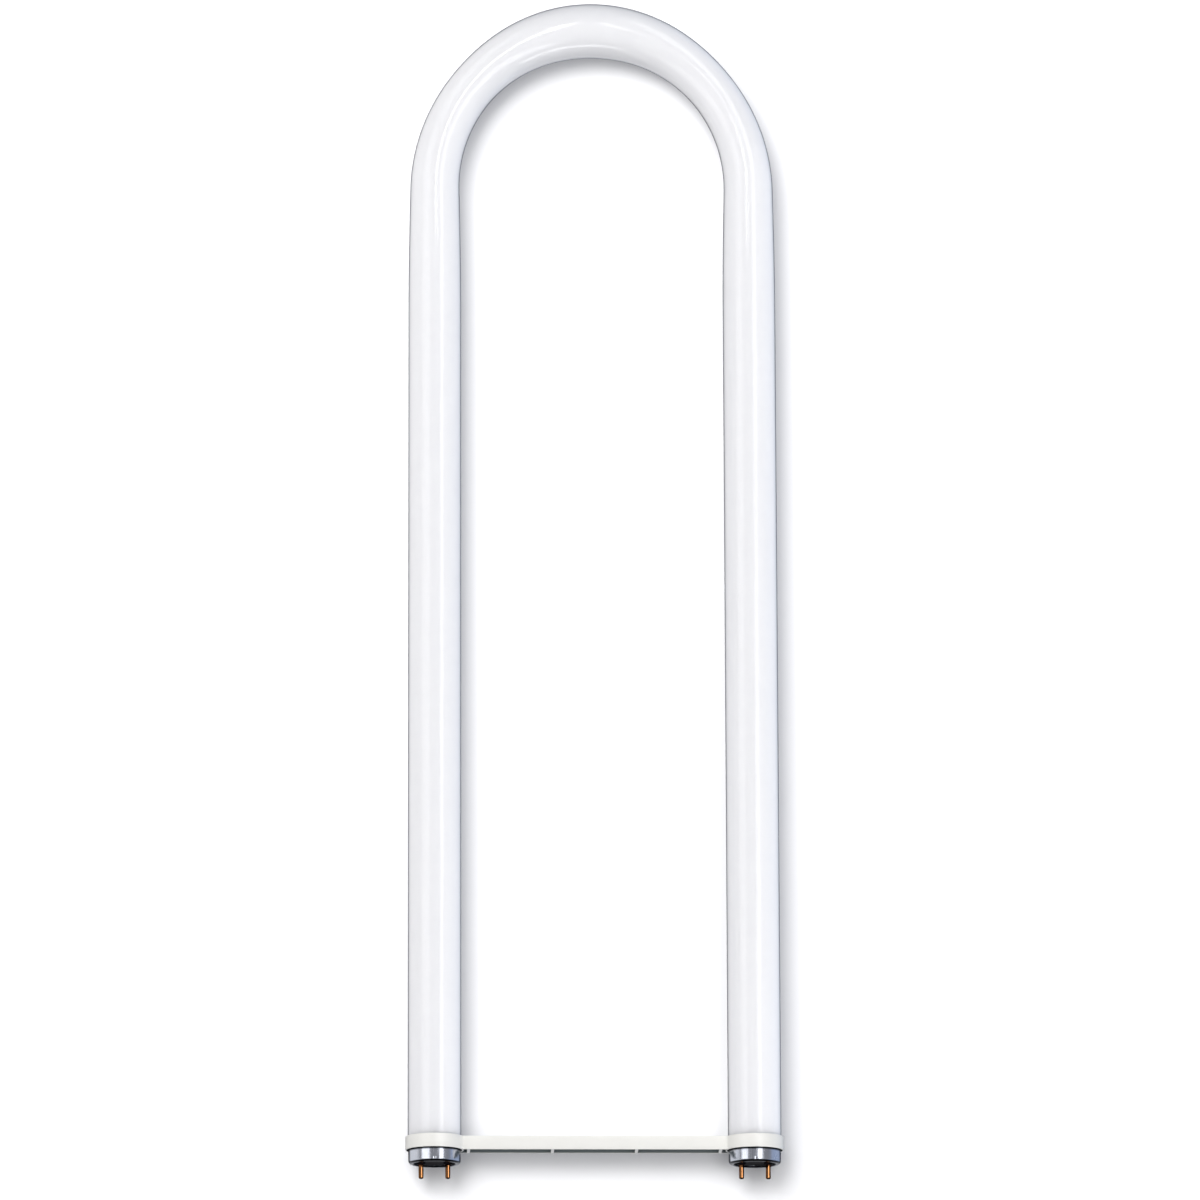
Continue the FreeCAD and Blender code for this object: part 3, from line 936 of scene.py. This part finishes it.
    def build(self, finish: Material) -> Object:
        """Raise the plan to the brace's height, round its outline and sink the cells.

        Args:
            finish: Material of the brace.

        Returns:
            The brace's piece.
        """
        mesh = self.draw_half_plan()
        bmesh.ops.mirror(mesh, geom=mesh.verts[:] + mesh.edges[:] + mesh.faces[:], matrix=Matrix.Identity(4),
                         merge_dist=MERGE_DISTANCE, axis="X")
        bmesh.ops.recalc_face_normals(mesh, faces=mesh.faces)
        raised = bmesh.ops.extrude_face_region(mesh, geom=mesh.faces[:])["geom"]
        lifted = [item for item in raised if isinstance(item, BMVert)]
        bmesh.ops.translate(mesh, verts=lifted, vec=(0, self.height * MM, 0))
        self.step_bores(mesh)
        bmesh.ops.recalc_face_normals(mesh, faces=mesh.faces)
        cells = [face for face in mesh.faces if self.is_cell(face)]
        self.round_outline(mesh)
        mouths = [face for face in cells if face.is_valid]
        sunk = bmesh.ops.extrude_face_region(mesh, geom=mouths)["geom"]
        floor = [item for item in sunk if isinstance(item, BMVert)]
        bmesh.ops.translate(mesh, verts=floor, vec=(0, (self.height - self.wall) * MM, 0))
        bmesh.ops.delete(mesh, geom=mouths, context="FACES")
        # The cells' floors take the mask of the painted shade
        for vertex in floor:
            vertex[mesh.verts.layers.float[RECESS]] = 1.0
        bmesh.ops.recalc_face_normals(mesh, faces=mesh.faces)
        return new_piece(mesh, "brace_moulding", finish, ["leg_brace"])

    def is_cell(self, face: BMFace) -> bool:
        """Tell whether a face of the open side lies in a cell.

        Args:
            face: A face of the brace before its cells are sunk.

        Returns:
            Whether it closes the mouth of a cell.
        """
        middle = face.calc_center_median()
        level = self.plan_point(0.0, 0.0)
        across, rise = abs(middle.x) / MM, (middle.z - level.z) / MM
        on_open_side = abs(middle.y - level.y) < MERGE_DISTANCE
        between_walls = self.back + self.wall < rise < self.front - self.wall
        on_rib = any(abs(across - rib) < self.rib_thickness / 2 for rib in self.rib_places())
        off_collar = math.hypot(self.layout.leg_x - across, rise) > self.collar_radius
        return on_open_side and between_walls and off_collar and not on_rib

    def off_hub(self, place: Vector) -> float:
        """Distance of a place from the axis of the leg on its side."""
        hub = self.plan_point(self.layout.leg_x, 0.0)
        return math.hypot(abs(place.x) - hub.x, place.z - hub.z)

    def step_bores(self, mesh: BMesh) -> None:
        """Draw the collars' bores in to the glass above the part that stands clear of the caps.

        Args:
            mesh: The raised brace.
        """
        ledge = self.plan_point(0.0, 0.0).y + self.relief_height * MM
        ledge_top = ledge + self.relief_ledge * MM
        for level in (ledge, ledge_top):
            bmesh.ops.bisect_plane(mesh, geom=mesh.verts[:] + mesh.edges[:] + mesh.faces[:],
                                   dist=MERGE_DISTANCE, plane_co=(0, level, 0), plane_no=(0, 1, 0))
        shrink = self.bore_radius / self.relief_radius
        bore = [vertex for vertex in mesh.verts
                if abs(self.off_hub(vertex.co) - self.relief_radius * MM) < LOOSE_DISTANCE]
        upper = [vertex for vertex in bore if vertex.co.y > ledge_top - MERGE_DISTANCE]
        # The bore above the ledge takes the mask of the painted shade too
        for vertex in bore:
            if vertex.co.y > ledge - MERGE_DISTANCE:
                vertex[mesh.verts.layers.float[RECESS]] = 1.0
        for side in Side:
            hub = self.plan_point(side.value * self.layout.leg_x, 0.0)
            ring = [vertex for vertex in upper if vertex.co.x * side.value > 0]
            bmesh.ops.scale(mesh, vec=(shrink, 1, shrink), space=Matrix.Translation(-hub), verts=ring)

    def round_outline(self, mesh: BMesh) -> None:
        """Round the outer edges of both ends of the moulding.

        Args:
            mesh: The raised brace.
        """
        bore = self.relief_radius * MM + LOOSE_DISTANCE
        rims = [edge for edge in mesh.edges if len(edge.link_faces) == 2
                and edge.calc_face_angle(0.0) > RIM_ANGLE
                and abs(edge.verts[0].co.y - edge.verts[1].co.y) < MERGE_DISTANCE
                and all(self.off_hub(vertex.co) > bore for vertex in edge.verts)]
        bmesh.ops.bevel(mesh, geom=rims, offset=self.edge_round * MM, offset_type="OFFSET",
                        segments=RIM_SEGMENTS, profile=0.5, affect="EDGES", material=-1, clamp_overlap=True)


# Studio


@dataclass
class Softbox:
    """A rectangular studio light, with its brightness as a share of a white surface's.

    It faces straight down where it has no aim, and lights everything where it has no receivers.
    """

    name: str
    width: float
    length: float
    place: tuple[float, float, float]
    brightness: float
    aim: tuple[float, float, float] | None = None
    receivers: Sequence[Object] = ()

    def build(self) -> None:
        """Hang the light, unseen by the camera itself."""
        lamp = bpy.data.lights.new(self.name, "AREA")
        lamp.shape = "RECTANGLE"
        lamp.size, lamp.size_y = self.width * MM, self.length * MM
        lamp.energy = self.brightness * math.pi * lamp.size * lamp.size_y
        box = bpy.data.objects.new(self.name, lamp)
        bpy.context.scene.collection.objects.link(box)
        box.location = Vector(self.place) * MM
        aim = self.aim or (*self.place[:2], 0.0)
        box.rotation_euler = (Vector(aim) - Vector(self.place)).to_track_quat("-Z", "Y").to_euler()
        box.visible_camera = False
        if self.receivers:
            lit = bpy.data.collections.new(f"lit_by_{self.name}")
            for receiver in self.receivers:
                lit.objects.link(receiver)
            box.light_linking.receiver_collection = lit


@dataclass(frozen=True)
class RoomZone:
    """A part of the room round a direction, as it reflects in the lamp.

    Start and end are cosines of the angles from that direction between which the zone fades in.
    """

    toward: tuple[float, float, float]
    start: float
    end: float
    colour: str


# The room as the lamp reflects it: pale walls, a grey ceiling and dark ends, and below a dark floor with one
# pale patch before the pins
ROOM_ENDS = "#4A5160"
ROOM_ZONES = (
    RoomZone((-1.0, 0.0, 0.0), 0.25, 0.55, "#F2F2F4"),
    RoomZone((1.0, 0.0, 0.0), 0.25, 0.55, "#AEBBD4"),
    RoomZone((0.0, 0.0, -1.0), 0.62, 0.9, "#10141E"),
    RoomZone((0.0, -0.5, -0.866), 0.8, 0.93, "#D8DAE0"),
    RoomZone((0.0, 0.0, 1.0), 0.05, 0.45, "#929295"),
    RoomZone((0.0, -1.0, 0.0), 0.5, 0.85, "#1A1F2B"),
)


@dataclass
class Studio:
    """Pale floor, soft light and the camera at the photograph's viewing angle."""

    tube: Object
    brace: Object
    pins: list[Object]
    floor_width: float = 8000.0
    legs_y: float = 275.0
    base_end: tuple[float, float, float] = (0.0, -270.0, 10.0)
    camera_place: tuple[float, float, float] = (-122.8, -922.7, 4299.1)
    camera_turn: tuple[float, float, float] = (12.051, -1.650, 0.158)
    camera_lens: float = 273.0
    sensor_width: float = 36.0
    clip_end: float = 100000.0

    def build_floor(self) -> Object:
        """Lay the floor that the lamp rests on.

        Returns:
            The floor.
        """
        # Matt pale grey that the floor's own lights bring up to white
        paper = Finish("white_studio_paper", "#C9C9CA", "#C6C6C8", patch=40.0, roughness=0.8, grain=2.0,
                       depth=0.02)
        mesh = bmesh.new()
        bmesh.ops.create_grid(mesh, x_segments=1, y_segments=1, size=self.floor_width / 2 * MM)
        data = bpy.data.meshes.new("studio_floor")
        mesh.to_mesh(data)
        mesh.free()
        data.materials.append(paper.material())
        floor = bpy.data.objects.new("studio_floor", data)
        bpy.context.scene.collection.objects.link(floor)
        # The glass takes its dark edges from the dim room below, which a lit floor would wash out
        floor.visible_diffuse = floor.visible_glossy = False
        return floor

    def build_lights(self, floor: Object) -> None:
        """Hang the boxes that streak the legs, the lights of single pieces and the floor's own light.

        Args:
            floor: The floor, which alone takes the key light with its shadow, so that the white glass keeps
                its tone.
        """
        boxes = [
            # Boxes that streak the legs
            Softbox("right_strip", 280.0, 2100.0, (366.0, self.legs_y, 755.0), 2.3),
            Softbox("left_box", 760.0, 2100.0, (-700.0, self.legs_y, 620.0), 1.3),
            # Fills for the glass
            Softbox("left_fill", 900.0, 2100.0, (-1000.0, self.legs_y, 350.0), 0.36,
                    aim=(-100.0, self.legs_y, 0.0), receivers=[self.tube]),
            Softbox("right_fill", 900.0, 2100.0, (1000.0, self.legs_y, 350.0), 0.85,
                    aim=(100.0, self.legs_y, 0.0), receivers=[self.tube]),
            Softbox("front_fill", 1000.0, 250.0, (200.0, -850.0, 270.0), 4.0,
                    aim=self.base_end, receivers=[self.tube]),
            # Small lights for the glints on the bend
            Softbox("left_glint", 40.0, 200.0, (-40.0, 440.0, 620.0), 10.0, receivers=[self.tube]),
            Softbox("right_glint", 24.0, 200.0, (48.0, 440.0, 620.0), 5.0, receivers=[self.tube]),
            # Fills for the brace, which leave its cells dark, and the shine on the pins
            Softbox("low_fill", 1600.0, 120.0, (300.0, -1300.0, 60.0), 8.0,
                    aim=self.base_end, receivers=[self.brace]),
            Softbox("back_fill", 1200.0, 600.0, (400.0, 300.0, 1500.0), 4.0,
                    aim=self.base_end, receivers=[self.brace]),
            Softbox("pin_light", 300.0, 600.0, (340.0, -280.0, 700.0), 17.0, receivers=self.pins),
            # The floor's own light, with the lamp's shadow
            Softbox("key", 1400.0, 1400.0, (-760.0, 760.0, 2050.0), 9.8,
                    aim=(0.0, 0.0, 0.0), receivers=[floor]),
            Softbox("floor_fill", 4000.0, 4000.0, (0.0, 0.0, 2500.0), 1.2, receivers=[floor]),
        ]
        for box in boxes:
            box.build()

    def build_room(self) -> None:
        """Surround the lamp with a room that is pale above and beside it and dim at its ends and below."""
        world = bpy.data.worlds.new("studio_room")
        world.use_nodes = True
        tree = world.node_tree
        toward = add_node(tree, "ShaderNodeTexCoord").outputs["Generated"]
        shade: Any = linear(ROOM_ENDS)
        for zone in ROOM_ZONES:
            near = add_node(tree, "ShaderNodeVectorMath", {"operation": "DOT_PRODUCT"}, {
                0: toward, 1: zone.toward})
            share = add_node(tree, "ShaderNodeMapRange", EASED, {
                "Value": near.outputs["Value"], "From Min": zone.start, "From Max": zone.end})
            mixed = add_node(tree, "ShaderNodeMix", COLOURS, {
                "Factor": share.outputs[0], FIRST: shade, SECOND: linear(zone.colour)})
            shade = mixed.outputs[MIXED]
        tree.links.new(shade, tree.nodes["Background"].inputs["Color"])
        bpy.context.scene.world = world

    def build_camera(self) -> None:
        """Set the camera that the photograph's measured edges give."""
        data = bpy.data.cameras.new("photo_camera")
        data.lens, data.sensor_width = self.camera_lens, self.sensor_width
        data.clip_end = self.clip_end * MM
        camera = bpy.data.objects.new("photo_camera", data)
        bpy.context.scene.collection.objects.link(camera)
        camera.location = Vector(self.camera_place) * MM
        camera.rotation_mode = "ZYX"
        camera.rotation_euler = [math.radians(angle) for angle in self.camera_turn]
        bpy.context.scene.camera = camera

    def build(self) -> None:
        """Set up floor, lights, room, camera and the picture's tone."""
        self.build_lights(self.build_floor())
        self.build_room()
        self.build_camera()
        bpy.context.scene.view_settings.view_transform = "Standard"


def make_finishes(layout: Layout) -> dict[Slot, Material]:
    """Make one material for each slot of the record.

    Args:
        layout: Places of the lamp, for finishes that vary along it.

    Returns:
        The materials by slot.
    """
    along_leg, along_tube, round_pin = (1.0, 0.04, 1.0), (1.0, 0.12, 1.0), (0.04, 1.0, 0.04)
    finishes: dict[Slot, Finish] = {
        # Chalky white under a clear gloss, with slow waves drawn out along the tube and a painted dark
        # reflection at its edges
        Slot.GLASS: CoatedGlass(
            "phosphor_coated_glass", "#F1F1F2", "#EDEDEF", patch=6.0, roughness=0.6, grain=9.0, depth=0.05,
            stretch=along_tube, specular=0.15, base_y=layout.base_y),
        # Bright metal with drawing lines, coarser than real ones because those are too fine to show, and
        # painted shade at the collar's edge and at the rim
        Slot.ALUMINIUM: CapAluminium(
            "drawn_aluminium", "#D6D9E0", "#C4C9D4", patch=4.0, roughness=0.2, grain=0.3, depth=0.01,
            roughness_spread=0.08, stretch=along_leg, metallic=1.0,
            collar_y=layout.base_y + LegBrace.start, base_y=layout.base_y),
        # Nearly black and dull, with the faint mottle of a filled resin
        Slot.PHENOLIC: Finish(
            "dark_phenolic", "#141015", "#1C171B", patch=1.5, roughness=0.7, grain=0.35, depth=0.02,
            specular=0.1),
        # Tarnished gold with a red brown edge, its turning marks drawn coarser than real ones to show at all
        Slot.BRASS: Finish(
            "turned_brass", "#805837", "#5A3A22", patch=1.2, roughness=0.12, grain=0.25, depth=0.01,
            stretch=round_pin, metallic=1.0, edge_tint="#5A2A16"),
        # Dull grey brown grit, out of sight in the caps
        Slot.CEMENT: Finish(
            "basing_cement", "#A59C8A", "#8C826F", patch=0.8, roughness=0.9, grain=0.3, depth=0.08),
        # Bare reddish wire, out of sight in the caps and pins
        Slot.WIRE: Finish(
            "drawn_copper_wire", "#C08A66", "#9C6A4B", patch=0.8, roughness=0.34, grain=0.1, depth=0.01,
            roughness_spread=0.08, stretch=along_leg, metallic=1.0),
        # Warm even white with a satin mould grain, drawn coarser than the real one to show at all, and
        # painted shade in its cells and bores
        Slot.MOULDING: RibbedMoulding(
            "satin_white_moulding", "#F1F0EB", "#ECEBE5", patch=9.0, roughness=0.36, grain=0.35, depth=0.02),
    }
    return {slot: finish.material() for slot, finish in finishes.items()}


def main() -> None:
    """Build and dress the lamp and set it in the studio."""
    logging.basicConfig(level=logging.INFO, format="%(name)s: %(message)s")
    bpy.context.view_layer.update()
    layout = Layout()
    finishes = make_finishes(layout)
    tube = GlassTube(layout).build(finishes[Slot.GLASS])
    pins = [pin for side in Side for pin in BiPinBase(layout, side).build(finishes)]
    brace = LegBrace(layout).build(finishes[Slot.MOULDING])
    Studio(tube, brace, pins).build()


if __name__ == "__main__":
    main()
